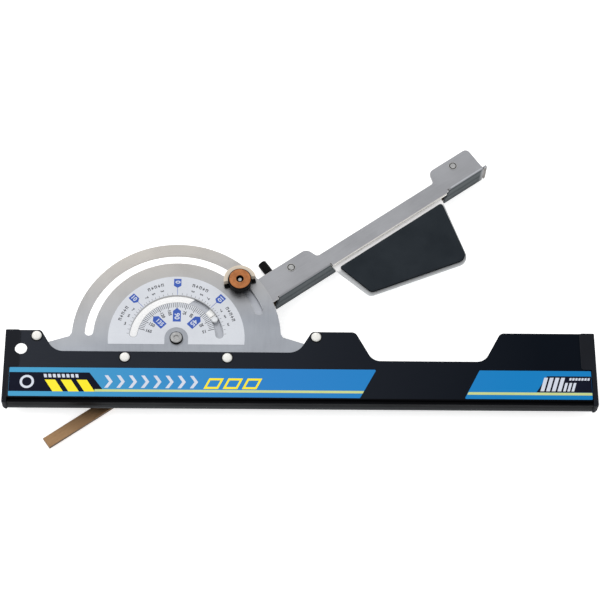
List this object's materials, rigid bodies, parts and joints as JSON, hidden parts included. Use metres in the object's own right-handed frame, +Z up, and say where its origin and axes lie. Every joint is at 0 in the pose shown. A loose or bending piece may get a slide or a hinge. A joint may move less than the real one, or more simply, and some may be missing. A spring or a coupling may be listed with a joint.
{
  "type": "adjustable angle guide for circular saws",
  "caption": "Flat saw guide: a labelled fence rail, a half-round protractor with slots, and a swinging sheet-metal arm with a sliding reference bar, grip plate and clamp knob.",
  "frame": {"origin": "centre of the flat underside of the pivot foot, on the pivot axis, in the plane of the timber's top", "axes": "+X along the fence towards its longer end, +Y away from the guide edge, +Z up along the pivot axis"},
  "size_m": [0.4497, 0.2522, 0.0296],
  "materials": {
    "anodised": "satin black anodised",
    "cap_plastic": "fine matt",
    "label_blue": "semi-gloss printed film",
    "rubber": "matt",
    "stainless": "brushed",
    "scale_white": "printed film",
    "rivet_white": "semi-gloss",
    "steel": "satin",
    "nylon": "natural",
    "pad": "soft matt foam",
    "brass": "satin gold",
    "black_plastic": "moulded",
    "copper": "copper coloured disc",
    "cream": "moulded"
  },
  "bodies": {
    "fence": {"fence_rail": "anodised", "left_end_cap": "cap_plastic", "right_end_cap": "cap_plastic", "fence_label_left": "label_blue", "fence_label_right": "label_blue", "anti_slip_strip": "rubber", "protractor_plate": "stainless", "scale_sticker": "scale_white", "pivot_pin": "steel", "pivot_foot": "steel", "pivot_washer_upper": "nylon", "fence_rivet_1": "rivet_white", "fence_rivet_2": "rivet_white", "fence_rivet_3": "rivet_white", "fence_rivet_4": "rivet_white"},
    "arm": {"arm_plate": "steel", "grip_plate": "steel", "grip_pad": "pad", "bar_guide_hub": "black_plastic", "bar_guide_end": "black_plastic", "arm_rivet_hub": "steel", "arm_rivet_end": "steel", "bar_lock_pad": "nylon", "clamp_stud": "steel", "clamp_washer": "cream", "clamp_lugs": "black_plastic", "guide_pin": "steel", "index_plate": "nylon", "pivot_washer_lower": "nylon"},
    "bar": {"reference_bar": "brass"},
    "knob": {"clamp_knob": "black_plastic", "knob_disc": "copper"},
    "lock_screw": {"bar_screw": "steel", "bar_screw_cap": "black_plastic"}
  },
  "joints": [
    {"name": "arm_swing", "type": "hinge", "parent": "fence", "child": "arm", "pos_m": [0, 0, 0.008], "axis": [0, 0, 1], "range_deg": [-22, 131.5]},
    {"name": "bar_slide", "type": "slide", "parent": "arm", "child": "bar", "axis": [0.8161, 0.5779, 0], "range_m": [-0.014, 0.1]},
    {"name": "clamp_knob_turn", "type": "hinge", "parent": "arm", "child": "knob", "pos_m": [0.04811, 0.04663, 0.016], "axis": [0, 0, 1], "range_deg": [0, 360]},
    {"name": "lock_screw_turn", "type": "hinge", "parent": "arm", "child": "lock_screw", "pos_m": [0.07151, 0.06288, -0.00655], "axis": [-0.5779, 0.8161, 0], "range_deg": [0, 360]}
  ]
}
